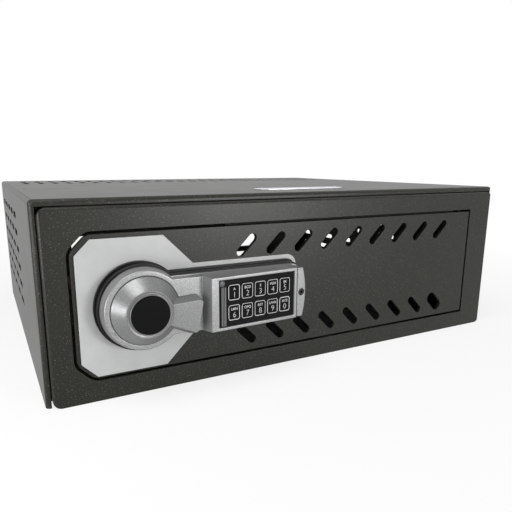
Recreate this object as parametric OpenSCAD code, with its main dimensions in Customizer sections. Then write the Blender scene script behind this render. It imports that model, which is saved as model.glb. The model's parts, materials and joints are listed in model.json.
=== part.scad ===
// Steel cabinet that locks a video recorder away, with a round knob lock and a ten-key keypad.
// X runs to the right, Y to the back, Z up. The origin is the middle of the underside.
// The front frame lies at y = -body_d / 2. Millimetres.

/* [Cabinet] */
// Width over both sides
body_w = 455; // [440:5:500]
// Height of the cabinet
body_h = 148; // [145:1:170]
// Depth from the front frame to the rear sheet
body_d = 380; // [340:5:460]
// Thickness of the shell, floor and rear sheets
shell_t = 2; // [1.2:0.1:2.4]
// Outside radius of the shell's folds
shell_bend_r = 3.5; // [3:0.5:5]
// Width of the shell's return strip at each side
strip_side = 4; // [3:0.5:6]
// Width of the shell's return strip at the top
strip_top = 4.9; // [4:0.1:6]

/* [Front frame] */
// How far the frame stands proud of the shell
frame_proud = 4; // [2:0.5:6]
// Thickness of the frame's sheet
frame_t = 2; // [1.5:0.1:2.5]
// Depth of the frame's turned-back edges
frame_return = 16; // [12:1:20]
// Radius of the frame's corners seen from the front
frame_corner_r = 6.5; // [3:0.5:8]
// Outside radius of the frame's folds
frame_bend_r = 2.5; // [2:0.5:3]
// Gap between the frame and the shell's strips
frame_gap = 0.5; // [0.3:0.1:1]

/* [Door] */
// Margin left of the door opening
left_margin = 20.7; // [20:0.1:24]
// Margin right of the door opening
right_margin = 34.9; // [28:0.1:36]
// Margin below the door opening
bottom_margin = 16; // [14:0.5:17]
// Margin above the door opening
top_margin = 22.5; // [21:0.5:26]
// Leg of the cut-off left corners
corner_cut = 13; // [8:1:16]
// Radius where a cut corner meets the straight edges
corner_r = 12; // [4:1:14]
// Gap round the door
door_gap = 2; // [1.6:0.1:2.5]
// Thickness of the door plate
door_t = 4; // [3:0.5:5]

/* [Door slots] */
// Slots in each row
slot_count = 9; // [5:1:9]
// Distance between neighbouring slots
slot_pitch = 27.35; // [24:0.05:28]
// First slot's middle, from the cabinet's left side
slot_start = 158.7; // [156:0.1:164]
// Distance of a row's middle from the door's upper or lower edge, with the lock's axis halfway
slot_edge_in = 15.35; // [13.75:0.1:16.75]
// Length between a slot's end centres
slot_len = 15.2; // [13:0.2:17]
// Width of a slot
slot_w = 7; // [5:0.2:7.4]
// Lean of the slots from level, in degrees
slot_lean = 45; // [40:1:60]
// Width of the last slot in the bottom row
wide_slot_w = 11.2; // [8:0.2:12]

/* [Shell vents] */
// Rows of vents on each side
vent_rows = 6; // [3:1:6]
// Height between the rows
vent_row_pitch = 16.2; // [15:0.1:16.4]
// Columns of vents on each side
vent_columns = 5; // [2:1:5]
// Distance between the columns
vent_column_pitch = 44; // [36:1:44]
// Rear column's distance from the rear face
vent_rear = 48.6; // [40:0.2:60]
// Top row's distance from the top face
vent_drop = 23; // [20:0.5:26]
// Length between a vent's end centres
vent_len = 24; // [8:0.5:26]
// Width of a vent
vent_w = 6; // [3:0.2:7]
// Rows of vents across the top
top_vent_rows = 2; // [1:1:3]
// Distance between the vents of a top row
top_vent_pitch = 15.75; // [14:0.05:20]

/* [Rear openings] */
// Width of a cable window
window_w = 50; // [30:1:56]
// Inner edge of a window from the cabinet's middle
window_in = 99; // [90:1:120]
// Height of an upper cable window
window_h = 35.5; // [20:0.5:40]
// Height of a lower cable window
low_window_h = 19.6; // [14:0.2:22]
// Height of the bar between a lower and an upper window
window_bar = 5.7; // [5.6:0.1:12]
// Width of the rubber edging on a window's rim
trim_w = 2.5; // [2:0.1:2.7]

/* [Anchor holes] */
// Radius of the holes in the floor
anchor_r = 5; // [3:0.5:7]
// Distance between the holes along X
anchor_x = 300; // [200:10:340]
// Distance between the holes along Y
anchor_y = 220; // [160:10:260]

/* [Badge plate] */
// Length of the bare plate on top
badge_len = 96; // [60:1:120]
// Width of the bare plate
badge_w = 20; // [12:1:30]
// Thickness of the bare plate
badge_t = 0.8; // [0.5:0.1:1.5]

/* [Lock] */
// Knob axis from the cabinet's left side
lock_inset = 68.5; // [67:0.5:72]
// How far the knob's axis lies below the door's middle
lock_drop = 0.75; // [0:0.25:2]
// Thickness of the light plate on the door
plate_t = 1.6; // [1:0.1:2.5]
// Radius of the black base's foot
base_r = 33; // [32.5:0.1:35]
// Height of the foot of the black base
base_foot = 3; // [2:0.5:4]
// How far the black base stands off the door
base_top = 11.4; // [10:0.2:12]
// Half height of the black base behind the keypad
base_half = 24; // [23.4:0.1:25]
// Outer radius of the casting's ring
ring_r = 30.5; // [30:0.1:31]
// How far the ring and arm stand off the door
arm_top = 19.7; // [19:0.1:21]
// Half height of the arm and keypad block at their front
block_half = 20.3; // [19.8:0.1:20.8]
// Wall thickness of the castings
cast_t = 2.2; // [1.8:0.1:2.4]
// Left edge of the keypad face from the knob's axis
face_left = 46; // [45.5:0.5:48]
// Width of the keypad face left of the key plate
face_rim_left = 5.9; // [5:0.1:8]
// Width of the keypad face right of the key plate
face_rim_right = 2.4; // [2.4:0.1:5]
// How far the left edge of the keypad face stands off the door
face_top = 30.2; // [29.8:0.1:31]
// Slope of the keypad face, in degrees
face_tilt = 3.45; // [2.5:0.05:4]

/* [Knob] */
// Radius of the knob's cone at its foot
knob_r = 24.8; // [24:0.1:25.2]
// Radius of the knob's collar
collar_r = 16.7; // [16.4:0.1:18]
// How far the black cap stands off the door
knob_top = 31.7; // [31:0.1:33]
// Radius of the black cap
cap_r = 13.7; // [12:0.1:14]
// Reach of the thumb lever from the axis
lever_len = 39; // [36:0.5:40]
// Half width of the lever's end at its front
lever_half = 12.8; // [10:0.2:13.4]
// How far the lever hangs below level at rest, in degrees
lever_rest = 10.5; // [0:0.5:20]
// Radius of the spindle
spindle_r = 5; // [4:0.1:5.5]

/* [Keys] */
// Width of a key
key_w = 9.8; // [9:0.1:10.4]
// Height of a key
key_h = 11.8; // [11:0.1:12.6]
// Distance between key columns
key_pitch_x = 11.5; // [11:0.1:12.4]
// Distance between key rows
key_pitch_z = 15.5; // [15.4:0.1:15.8]
// Travel of a key
key_travel = 0.7; // [0.3:0.1:0.8]
// Width of the key plate left of the keys, with the indicator bar
key_lead = 8.1; // [7.8:0.1:9]
// Width of the key plate right of the keys
key_trail = 4.2; // [3:0.1:5]
// Height of the key plate above and below the keys
key_margin = 4.5; // [4:0.05:4.5]

/* [Bolt work] */
// Travel of the bolts
bolt_travel = 16; // [12:1:16]
// Radius of the bolts
bolt_r = 6; // [5:0.5:6.5]
// Height of each bolt above or below the knob's axis
bolt_rise = 18; // [18:0.5:20]
// Depth of the cover over the bolt work
case_depth = 24; // [23:1:30]

/* [Hidden] */
$fn = 48;
// Turn of the knob that throws the bolts, in degrees
knob_turn = 90;
// Overrun of cuts past the faces they open
over = 1;
// Gap between pieces that lie on each other without being welded
seat = 0.2;
// Radial clearance of a shaft that turns or slides in its bore
run_fit = 0.06;
// Steps in each rounded corner of a drawn outline
corner_steps = 8;

// Cabinet planes
front_y = -body_d / 2;
back_y = body_d / 2;
left_x = -body_w / 2;
shell_front = front_y + frame_proud;
inner_w = body_w - 2 * shell_t;
inner_h = body_h - shell_t;
frame_w = body_w - 2 * (strip_side + frame_gap);
frame_h = body_h - strip_top - frame_gap;
frame_back = front_y + frame_return;

// Door opening and door
open_x0 = left_x + left_margin;
open_x1 = -left_x - right_margin;
open_z0 = bottom_margin;
open_z1 = body_h - top_margin;
door_x0 = open_x0 + door_gap;
door_x1 = open_x1 - door_gap;
door_z0 = open_z0 + door_gap;
door_z1 = open_z1 - door_gap;
door_back = front_y + door_t;
slot_rise = (door_z1 - door_z0) / 2 - slot_edge_in;
square_corner_r = 1;

// Least distance of the top vents from the shell's inner faces
top_vent_in = 19.5;

// Floor and rear sheets
pan_edge_h = 8;
back_edge = 5;
edge_fit = 0.3;
window_r = 4;
low_window_z = pan_edge_h + trim_w + edge_fit + seat;
window_z = low_window_z + low_window_h + window_bar;
trim_fit = 0.05;
rear_vent_drop = 40;
rear_vent_z = body_h - rear_vent_drop;
rear_vent_count = 14;
rear_vent_pitch = 24;
rear_vent_len = 16;

// Hinge: axis of the pins behind the door's right edge
hinge_in = 8;
hinge_clear_in = 3.6;
hinge_depth = door_t + hinge_clear_in;
hinge_x = door_x1 - hinge_in;
hinge_y = front_y + hinge_depth;
hinge_pin_r = 2.5;
pin_head_r = 4;
pin_head_h = 2;
lug_t = 3;
lug_w = 14;
lug_clear = 1;
ear_t = 3;
ear_drop = 7;
ear_w = 13;
// Wall of hinge metal round the pin
hinge_wall = 3;

// Keeper and stops
keeper_play = 0.8;
keeper_h = 76;
keeper_in = 0.7;
stop_w = 18;
stop_t = 2;
stop_reach = 7;
stop_clear = 2;
stop_in = 6;
bumper_t = 1.5;
bumper_r = 2.2;

// Badge
badge_hole_in = 7;
rivet_r = 1.4;
rivet_head_r = 2.6;
rivet_head_h = 0.9;
badge_back = 52;
// Middle of the badge plate from the cabinet's left side
badge_in = 243;
badge_x = left_x + badge_in;

// Door stiffener
stiffener_in = 5;
stiffener_out = 20;
stiffener_h = 26;
stiffener_depth = 12;
stiffener_t = 1.5;
stiffener_lip = 9;

// Lock frame: lock_x, lock_z are the knob's axis on the door's front
lock_x = left_x + lock_inset;
lock_z = (door_z0 + door_z1) / 2 - lock_drop;
plate_left = 43;
plate_half = 50.2;
plate_cut = 11;
plate_neck = 20.4;
plate_strip_half = 27.2;
plate_end_r = 9;
plate_corner_r = 1.5;
base_end_r = 8;
base_step = 1.3;
base_wall = 4;
ring_face_r = 28.3;
ring_edge = 0.7;
ring_play = 0.3;
ring_bore_r = knob_r + ring_play;
ring_floor = 2;
tier_half = 21.7;
tier_top = 14.2;
tier_r = 7;
block_draft = 1;
block_corner_r = 2;
index_r = 0.7;
index_high = 0.4;
index_top = arm_top + index_high;
index_place = [-23, -13.7];
foot_out = 3;
foot_left = face_left - foot_out;

// Key plate on the sloping face, drawn from the face's left edge
columns = 5;
rows = 2;
key_first = face_rim_left + key_lead + key_w / 2;
panel_left = face_rim_left;
panel_w = key_lead + (columns - 1) * key_pitch_x + key_w + key_trail;
panel_h = (rows - 1) * key_pitch_z + key_h + 2 * key_margin;
face_len = face_rim_left + panel_w + face_rim_right;
face_right = face_left + face_len * cos(face_tilt);
face_right_top = face_top - face_len * sin(face_tilt);
panel_sink = 1.4;
panel_t = 1.5;
panel_fit = 0.1;
panel_r = 0.8;
rim_t = 1.6;

// End piece of the keypad block
end_gap = 0.6;
end_sink = 0.3;
end_left = face_right + end_gap;
end_w = 8;
end_mid = end_left + end_w;
end_corner_out = 5.2;
end_corner = end_left + end_corner_out;
end_step = 0.2;
end_half = block_half - end_step;
end_screw_r = 2.7;
end_screw_in = 4.2;
end_screw_u = end_left + end_screw_in;
end_screw_deep = 3;
end_screw_shank_r = 1.5;
socket_r = 1.3;

// Right ends of the casting's tier, the black base and the light plate
tier_out = 0.5;
tier_end = end_mid + tier_out;
base_out = 2.1;
base_end = tier_end + base_out;
plate_out = 2.9;
plate_end = base_end + plate_out;

// Keys
key_r = 1.8;
key_proud = 0.45;
key_fit = 0.25;
key_flange = 0.4;
key_flange_t = 0.8;
key_rest_gap = 0.2;
key_outline = 0.6;
key_outline_h = 0.12;
panel_back = panel_sink + panel_t;
key_back = panel_back + key_rest_gap + key_flange_t;
dome_play = 0.05;
dome_top = key_back + key_travel + dome_play;
dome_r = 2.6;
dome_h = 1.4;
mat_front = dome_top + dome_h;
mat_t = 0.8;
mat_rim = 1.5;
board_front = mat_front + mat_t;
board_t = 1.6;
board_margin = 1.2;
mat_fit = 0.3;
mat_right = face_len - cast_t - mat_fit;

// Indicator bar and lens left of the keys
bar_left_in = 2.3;
bar_left = panel_left + bar_left_in;
bar_w = 3.8;
bar_ribs = 3;
rib_gap = 0.6;
bar_sink = 0.8;
bar_low_in = 0.8;
bar_low = -panel_h / 2 + bar_low_in;
lens_r = 2.3;
lens_in = 0.5;
lens_left_in = 0.6;
lens_u = panel_left + lens_r + lens_left_in;
lens_sink = 0.9;
lens_z = panel_h / 2 - lens_r - lens_in;
lens_proud = 0.4;
bar_high = lens_z - lens_r - rib_gap;

// Knob
skirt_gap = 1;
knob_skirt = ring_floor + base_top + skirt_gap;
collar_round = 1.2;
collar_edge = knob_top - collar_round;
collar_wall = 1.3;
collar_foot = collar_edge - collar_wall;
collar_flare = 0.5;
dish_depth = 2;
dish_low = knob_top - dish_depth;
dish_w = 1.6;
cap_rim = 0.7;
rim_drop = 0.3;
rim_top = knob_top - rim_drop;
cap_rise = 0.3;
cap_t = 1.4;
hub_r = 8.5;
hub_fit = 0.05;
lever_root = 8;
lever_root_half = 5.6;
lever_drop = 3.5;
lever_top = knob_top - lever_drop;
lever_clear = 0.7;
lever_spread = 2.6;
lever_r = 2.4;
lever_skin = 0.4;
knob_wall = 2.4;

// Spindle and cam behind the door
boss_r = 9;
door_bore_r = 8;
cam_door_gap = 1.4;
cam_front = door_back + cam_door_gap;
cam_t = 6.2;
cam_back = cam_front + cam_t;
cam_r = 16;
cam_square_r = spindle_r;
crank_r = bolt_travel / 2 / sin(knob_turn / 2);
crank_pin_r = 3;
crank_play = 0.55;
notch_w = 5.8;
notch_deep = 4;
cam_screw_r = 3.6;
cam_screw_h = 1.1;
cam_screw_shank_r = 1.6;
cam_screw_len = 8;

// Bolt bar: plate behind the cam with a fork for the crank pin
bar_t = 3;
bar_cam_gap = 1.6;
bar_front = cam_back + bar_cam_gap;
bar_back = bar_front + bar_t;
bar_y = bar_front + bar_t / 2;
bar_low_edge = 19;
bar_high_edge = 4.6;
bar_z0 = lock_z - bar_low_edge;
bar_z1 = lock_z - bar_high_edge;
bolt_tip_in = 1;
bolt_tip = door_x0 + bolt_tip_in;
bolt_len = 29;
bolt_end = bolt_tip + bolt_len;
arm_w = 6;
arm_over = 6;
pin_x = lock_x + crank_r * sin(knob_turn / 2);
fork_floor = lock_z - crank_r - crank_pin_r - crank_play;
stud_in = 23;
stud_x = lock_x + stud_in;
stud_z = (bar_z0 + bar_z1) / 2;
stud_r = 2.5;
stud_play = 0.3;
stud_foot_r = 4;
stud_head_r = 4.5;
stud_head_h = 1.5;
bar_wall = 4;
bar_right = stud_x + bolt_travel + stud_r + 2 * stud_play + bar_wall;
guide_left_in = 4.5;
guide_x0 = door_x0 + guide_left_in;
guide_w = 6.5;
guide_wall = 3;
guide_half = bolt_r + guide_wall;

// Screws from behind the door into the casting, as distances from the knob's axis
housing_screw_r = 1.8;
housing_screw_head_r = 3.2;
housing_screw_head_h = 1.8;
housing_post_r = 4;
housing_screw_left_in = 8;
housing_screw_right_in = 22;
housing_screw_left = face_left + housing_screw_left_in;
housing_screw_right = face_right - housing_screw_right_in;
housing_screw_w = 15.6;
screw_clear = 2;

// Case over the bolt work
case_t = 1.2;
case_right_in = 14;
case_left_in = 3;
case_x0 = door_x0 + case_left_in;
case_x1 = lock_x + housing_screw_left + case_right_in;
case_below = 32;
case_above = 34;
case_z0 = lock_z - case_below;
case_z1 = lock_z + case_above;
case_back = door_back + case_depth;
case_lip = 6;
case_bolt_play = 0.6;
case_screw_r = 1.6;
case_screw_head_r = 3;
case_screw_head_h = 1.6;

// Solenoid with its blocking pin, above the cam and in line with its rim
coil_w = 16;
coil_h = 14;
coil_cam_gap = 1.8;
coil_z0 = lock_z + cam_r + coil_cam_gap;
coil_y = (cam_front + cam_back) / 2;
coil_d = 2 * (coil_y - door_back - seat);
coil_roof = 1.5;
plunger_r = 2.4;
plunger_gap = 0.6;
plunger_len = 8;
plunger_z0 = lock_z + cam_r + plunger_gap;
spring_r = 1.5;
spring_wire_r = 0.35;
spring_turns = 4;
spring_steps = 32;
wire_sides = 6;

// Boards, ribbon and battery
control_w = 17;
control_h = 20;
control_drop = 10;
control_case_gap = 1;
control_x1 = case_x1 - case_t - control_case_gap;
control_z1 = lock_z - control_drop;
control_stand = 2.6;
chip_w = 8;
chip_h = 6;
chip_t = 1.5;
ribbon_w = 8;
ribbon_t = 0.8;
ribbon_x = lock_x + housing_screw_left + housing_screw_head_r + seat + ribbon_w / 2;
ribbon_bend = 2;
ribbon_lap = 6;
ribbon_hole_r = 5;
tray_x0 = lock_x + housing_screw_right + housing_screw_head_r + screw_clear;
tray_w = 58;
tray_half = 17;
tray_depth = 21;
tray_t = 1.6;
battery_w = 48.5;
battery_h = 26.5;
battery_t = 17;
battery_lid_t = 1.6;

/* Outline helpers: a rounded corner of a drawn outline, as points on its arc */
function unit(v) = v / norm(v);
function fillet(a, b, c, r) =
    let (u = unit(a - b), v = unit(c - b), half = acos(u * v) / 2)
    let (mid = b + unit(u + v) * r / sin(half))
    let (p = b + u * r / tan(half) - mid, q = b + v * r / tan(half) - mid)
    let (a0 = atan2(p[1], p[0]), turn = atan2(q[1], q[0]) - a0)
    let (sweep = turn > 180 ? turn - 360 : turn < -180 ? turn + 360 : turn)
    [for (i = [0:corner_steps]) mid + r * [cos(a0 + sweep * i / corner_steps),
                                           sin(a0 + sweep * i / corner_steps)]];
function rounded(points, radii) =
    let (n = len(points))
    [for (i = [0:n - 1]) each fillet(points[(i + n - 1) % n], points[i],
                                     points[(i + 1) % n], radii[i])];

/* Shape helpers */
// A flat shape drawn in X and Z, its front at y and its back t behind it
module facing(y, t) {
    translate([0, y + t, 0]) rotate([90, 0, 0]) linear_extrude(t) children();
}
// A flat shape drawn in Y and Z, from x to x + t
module sideways(x, t) {
    translate([x, 0, 0]) rotate([90, 0, 90]) linear_extrude(t) children();
}
// Round shape whose profile is drawn as radius and stand-off from the door
module lathe() {
    rotate([90, 0, 0]) rotate_extrude() children();
}
// A cylinder along Y from y0 to y1
module rod_y(x, z, y0, y1, r) {
    translate([x, y1, z]) rotate([90, 0, 0]) cylinder(h = y1 - y0, r = r);
}
module at_lock() {
    translate([lock_x, front_y, lock_z]) children();
}
// A flat shape drawn from the knob's axis, between two stand-offs from the door
module off_door(from, to) {
    at_lock() facing(-to, to - from) children();
}
// The sloping keypad face: X along it from its left edge, -Y out of it
module on_face() {
    at_lock() translate([face_left, -face_top, 0]) rotate([0, 0, face_tilt]) children();
}
// A flat shape on the sloping face, between two depths below it
module in_face(from, to) {
    on_face() facing(from, to - from) children();
}
module box(x0, x1, y0, y1, z0, z1) {
    translate([x0, y0, z0]) cube([x1 - x0, y1 - y0, z1 - z0]);
}
module round_rect(x0, x1, z0, z1, r) {
    translate([x0 + r, z0]) square([x1 - x0 - 2 * r, z1 - z0]);
    translate([x0, z0 + r]) square([x1 - x0, z1 - z0 - 2 * r]);
    for (x = [x0 + r, x1 - r], z = [z0 + r, z1 - r])
        translate([x, z]) circle(r);
}
// A rectangle with only its two upper corners rounded
module arch_rect(x0, x1, z0, z1, r) {
    translate([x0, z0]) square([x1 - x0, z1 - z0 - r]);
    translate([x0 + r, z0]) square([x1 - x0 - 2 * r, z1 - z0]);
    for (x = [x0 + r, x1 - r])
        translate([x, z1 - r]) circle(r);
}
// A slot of the given length between its end centres, leaning by angle
module slot(length, width, angle) {
    rotate(angle) {
        square([length, width], center = true);
        for (side = [-1, 1])
            translate([side * length / 2, 0]) circle(width / 2);
    }
}

/* Cabinet */
module side_vents() {
    for (row = [0:vent_rows - 1], column = [0:vent_columns - 1])
        translate([back_y - vent_rear - column * vent_column_pitch,
                   body_h - vent_drop - row * vent_row_pitch])
            slot(vent_len, vent_w, 0);
}
module top_vents() {
    span = inner_w - 2 * top_vent_in;
    count = floor(span / top_vent_pitch);
    for (row = [0:top_vent_rows - 1], column = [0:count])
        translate([(column - count / 2) * top_vent_pitch,
                   back_y - vent_rear - row * vent_column_pitch])
            slot(vent_len, vent_w, 90);
}
module outer_shell() {
    depth = back_y - shell_front;
    color("#4c4d48") difference() {
        intersection() {
            facing(shell_front, depth)
                arch_rect(left_x, -left_x, 0, body_h, shell_bend_r);
            linear_extrude(body_h) scale([1, -1])
                arch_rect(left_x, -left_x, -back_y, -shell_front, shell_bend_r);
            sideways(left_x, body_w) scale([-1, 1])
                arch_rect(-back_y - over - shell_bend_r, -shell_front, 0, body_h, shell_bend_r);
        }
        box(-inner_w / 2, inner_w / 2, shell_front + shell_t, back_y + over, -over, inner_h);
        box(-frame_w / 2 - frame_gap, frame_w / 2 + frame_gap, shell_front - over,
            back_y, -over, frame_h + frame_gap);
        sideways(left_x - over, body_w + 2 * over) side_vents();
        translate([0, 0, inner_h - over]) linear_extrude(shell_t + 2 * over) top_vents();
    }
}
module floor_pan() {
    pan_w = inner_w - 2 * edge_fit;
    pan_y0 = frame_back + edge_fit;
    pan_y1 = back_y - shell_t - edge_fit;
    color("#44453f") difference() {
        box(-pan_w / 2, pan_w / 2, pan_y0, pan_y1, 0, pan_edge_h);
        box(-pan_w / 2 + shell_t, pan_w / 2 - shell_t, pan_y0 + shell_t, pan_y1 - shell_t,
            shell_t, pan_edge_h + over);
        for (x = [-1, 1], y = [-1, 1])
            translate([x * anchor_x / 2, y * anchor_y / 2, -over])
                cylinder(h = shell_t + 2 * over, r = anchor_r);
    }
}
module window_outlines(grow) {
    for (side = [-1, 1], low = [0, 1]) {
        z0 = low == 1 ? low_window_z : window_z;
        h = low == 1 ? low_window_h : window_h;
        mid = side * (window_in + window_w / 2);
        round_rect(mid - window_w / 2 - grow, mid + window_w / 2 + grow,
                   z0 - grow, z0 + h + grow, window_r + grow);
    }
}
module rear_vents() {
    for (i = [0:rear_vent_count - 1])
        translate([(i - (rear_vent_count - 1) / 2) * rear_vent_pitch, rear_vent_z])
            slot(rear_vent_len, vent_w, slot_lean);
}
module back_panel() {
    half = inner_w / 2 - edge_fit;
    top = inner_h - edge_fit;
    color("#4c4d48") difference() {
        box(-half, half, back_y - back_edge, back_y, 0, top);
        box(-half + shell_t, half - shell_t, back_y - back_edge - over, back_y - shell_t,
            -over, top - shell_t);
        facing(back_y - shell_t - over, shell_t + 2 * over) {
            window_outlines(0);
            rear_vents();
        }
        // The floor pan's turned-up rear and side edges lie inside the rear sheet's returns
        box(-half - over, half + over, back_y - back_edge - over, back_y - shell_t,
            -over, pan_edge_h + edge_fit);
    }
}
// The opening in the frame, or the door that stands gap inside it all round
module opening_outline(gap) {
    cut = corner_cut - gap * (2 - sqrt(2));
    r = corner_r - gap;
    polygon(rounded(
        [[open_x0 + gap, open_z0 + gap + cut], [open_x0 + gap, open_z1 - gap - cut],
         [open_x0 + gap + cut, open_z1 - gap], [open_x1 - gap, open_z1 - gap],
         [open_x1 - gap, open_z0 + gap], [open_x0 + gap + cut, open_z0 + gap]],
        [r, r, r, square_corner_r, square_corner_r, r]));
}
module front_frame() {
    half = frame_w / 2;
    inner_r = frame_corner_r - frame_t;
    color("#4c4d48") difference() {
        intersection() {
            facing(front_y, frame_return)
                round_rect(-half, half, 0, frame_h, frame_corner_r);
            linear_extrude(frame_h) scale([1, -1])
                arch_rect(-half, half, -frame_back, -front_y, frame_bend_r);
            sideways(-half, frame_w) scale([-1, 1])
                arch_rect(-frame_back - frame_bend_r, -front_y, 0, frame_h, frame_bend_r);
        }
        facing(front_y + frame_t, frame_return)
            round_rect(-half + frame_t, half - frame_t, frame_t, frame_h - frame_t, inner_r);
        facing(front_y - over, frame_t + 2 * over) opening_outline(0);
    }
}
module keeper_bar() {
    x0 = -frame_w / 2 + frame_t + edge_fit;
    keeper_t = bar_y - bolt_r - keeper_play - front_y - frame_t;
    color("#8d8f90") facing(front_y + frame_t, keeper_t)
        round_rect(x0, open_x0 - keeper_in, lock_z - keeper_h / 2, lock_z + keeper_h / 2,
                   square_corner_r);
}
// What the closed door rests on: a strip behind the frame's upper margin, which also keeps
// light out of the gap, and a tab behind the lower margin
module door_stops() {
    y1 = door_back + bumper_t + seat;
    color("#8d8f90") for (top = [0, 1]) {
        edge = top == 1 ? open_z1 : open_z0;
        out = top == 1 ? 1 : -1;
        near = edge + out * door_gap;
        far = near + out * stop_t;
        inner = edge - out * stop_reach;
        x0 = case_x1 + stop_in;
        x1 = top == 1 ? hinge_x - lug_w / 2 - stop_clear : x0 + stop_w;
        box(x0, x1, front_y + frame_t, y1 + stop_t, min(near, far), max(near, far));
        box(x0, x1, y1, y1 + stop_t, min(inner, far), max(inner, far));
    }
}
module stop_bumpers() {
    color("#202020") for (top = [0, 1]) {
        z = top == 1 ? door_z1 - bumper_r : door_z0 + bumper_r;
        rod_y(case_x1 + stop_in + stop_w / 2, z, door_back + seat,
              door_back + seat + bumper_t, bumper_r);
    }
}
module frame_hinge_lugs() {
    color("#8d8f90") for (top = [0, 1]) {
        z0 = top == 1 ? door_z1 + lug_clear + door_gap / 2 : door_z0 - lug_clear - door_gap / 2 - lug_t;
        difference() {
            box(hinge_x - lug_w / 2, hinge_x + lug_w / 2, front_y + frame_t,
                hinge_y + hinge_pin_r + hinge_wall, z0, z0 + lug_t);
            translate([hinge_x, hinge_y, z0 - over])
                cylinder(h = lug_t + 2 * over, r = hinge_pin_r + hub_fit);
        }
    }
}
module door_hinge_ears() {
    color("#8d8f90") for (top = [0, 1]) {
        z0 = top == 1 ? door_z1 - ear_drop - ear_t : door_z0 + ear_drop;
        difference() {
            box(hinge_x - ear_w / 2, hinge_x + ear_w / 2, door_back,
                hinge_y + hinge_pin_r + hinge_wall, z0, z0 + ear_t);
            translate([hinge_x, hinge_y, z0 - over])
                cylinder(h = ear_t + 2 * over, r = hinge_pin_r + run_fit);
        }
    }
}
module hinge_pins() {
    color("#b9bbbd") for (top = [0, 1]) mirror([0, 0, 1 - top]) {
        lug_top = top == 1 ? door_z1 + lug_clear + door_gap / 2 + lug_t
                           : -(door_z0 - lug_clear - door_gap / 2 - lug_t);
        ear_low = top == 1 ? door_z1 - ear_drop - ear_t : -(door_z0 + ear_drop + ear_t);
        translate([hinge_x, hinge_y, ear_low - stop_t])
            cylinder(h = lug_top - ear_low + stop_t, r = hinge_pin_r);
        translate([hinge_x, hinge_y, lug_top]) cylinder(h = pin_head_h, r = pin_head_r);
    }
}
module cable_window_trims() {
    color("#1c1c1c") difference() {
        facing(back_y - shell_t - trim_w / 2, shell_t + trim_w) window_outlines(trim_w);
        facing(back_y - shell_t - trim_w / 2 - over, shell_t + trim_w + 2 * over)
            window_outlines(-trim_w / 2);
        difference() {
            facing(back_y - shell_t, shell_t) window_outlines(trim_w + over);
            facing(back_y - shell_t - over, shell_t + 2 * over) window_outlines(-trim_fit);
        }
    }
}
module badge_plate() {
    color("#c9cacb") difference() {
        translate([0, 0, body_h]) linear_extrude(badge_t)
            translate([badge_x, front_y + badge_back])
                slot(badge_len - badge_w, badge_w, 0);
        for (side = [-1, 1])
            translate([badge_x + side * (badge_len / 2 - badge_hole_in),
                       front_y + badge_back, body_h - over])
                cylinder(h = badge_t + 2 * over, r = rivet_r);
    }
}
module badge_rivets() {
    color("#d9dadb") for (side = [-1, 1])
        translate([badge_x + side * (badge_len / 2 - badge_hole_in),
                   front_y + badge_back, body_h]) {
            cylinder(h = badge_t, r = rivet_r);
            translate([0, 0, badge_t])
                rotate_extrude() intersection() {
                    translate([0, rivet_head_h - rivet_head_r]) circle(rivet_head_r);
                    square([rivet_head_r, rivet_head_h]);
                }
        }
}

/* Door */
module slot_rows() {
    for (i = [0:slot_count - 1], row = [-1, 1]) {
        wide = row == -1 && i == slot_count - 1;
        width = wide ? wide_slot_w : slot_w;
        translate([left_x + slot_start + i * slot_pitch, lock_z + row * slot_rise])
            slot(slot_len + slot_w - width, width, row * slot_lean);
    }
}
module screw_places() {
    for (u = [housing_screw_left, housing_screw_right], side = [-1, 1])
        translate([u, side * housing_screw_w]) children();
}
module door_panel() {
    color("#4a4b46") difference() {
        facing(front_y, door_t) difference() {
            opening_outline(door_gap);
            slot_rows();
        }
        off_door(-door_t - over, over) {
            circle(door_bore_r);
            translate([ribbon_x - lock_x, 0]) circle(ribbon_hole_r);
            screw_places() circle(housing_screw_r + seat);
        }
    }
}
module door_stiffener() {
    stiffener_x0 = tray_x0 + tray_w + stiffener_in;
    stiffener_x1 = hinge_x - stiffener_out;
    color("#44453f") difference() {
        box(stiffener_x0, stiffener_x1, door_back, door_back + stiffener_depth,
            lock_z - stiffener_h / 2 - stiffener_lip, lock_z + stiffener_h / 2 + stiffener_lip);
        box(stiffener_x0 - over, stiffener_x1 + over, door_back - over,
            door_back + stiffener_depth - stiffener_t,
            lock_z - stiffener_h / 2 + stiffener_t, lock_z + stiffener_h / 2 - stiffener_t);
        for (side = [-1, 1])
            box(stiffener_x0 - over, stiffener_x1 + over, door_back + stiffener_t,
                door_back + stiffener_depth + over,
                side < 0 ? lock_z - stiffener_h / 2 - stiffener_lip - over
                         : lock_z + stiffener_h / 2,
                side < 0 ? lock_z - stiffener_h / 2
                         : lock_z + stiffener_h / 2 + stiffener_lip + over);
    }
}

/* Lock, outside */
module lock_plate() {
    strip = plate_strip_half;
    slope = plate_half - strip;
    color("#b9bab8") off_door(0, plate_t) difference() {
        polygon(rounded(
            [[-plate_left, -plate_half + plate_cut], [-plate_left, plate_half - plate_cut],
             [-plate_left + plate_cut, plate_half], [plate_neck, plate_half],
             [plate_neck + slope, strip], [plate_end, strip],
             [plate_end, -strip], [plate_neck + slope, -strip],
             [plate_neck, -plate_half], [-plate_left + plate_cut, -plate_half]],
            [plate_corner_r, plate_corner_r, plate_corner_r, plate_corner_r, plate_corner_r,
             plate_end_r, plate_end_r, plate_corner_r, plate_corner_r, plate_corner_r]));
        circle(door_bore_r);
        translate([ribbon_x - lock_x, 0]) circle(ribbon_hole_r);
        screw_places() circle(housing_screw_r + seat);
    }
}
module base_outline(shrink) {
    circle(base_r - shrink);
    round_rect(-base_end_r, base_end - shrink, -base_half + shrink, base_half - shrink,
               base_end_r - shrink);
}
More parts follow.
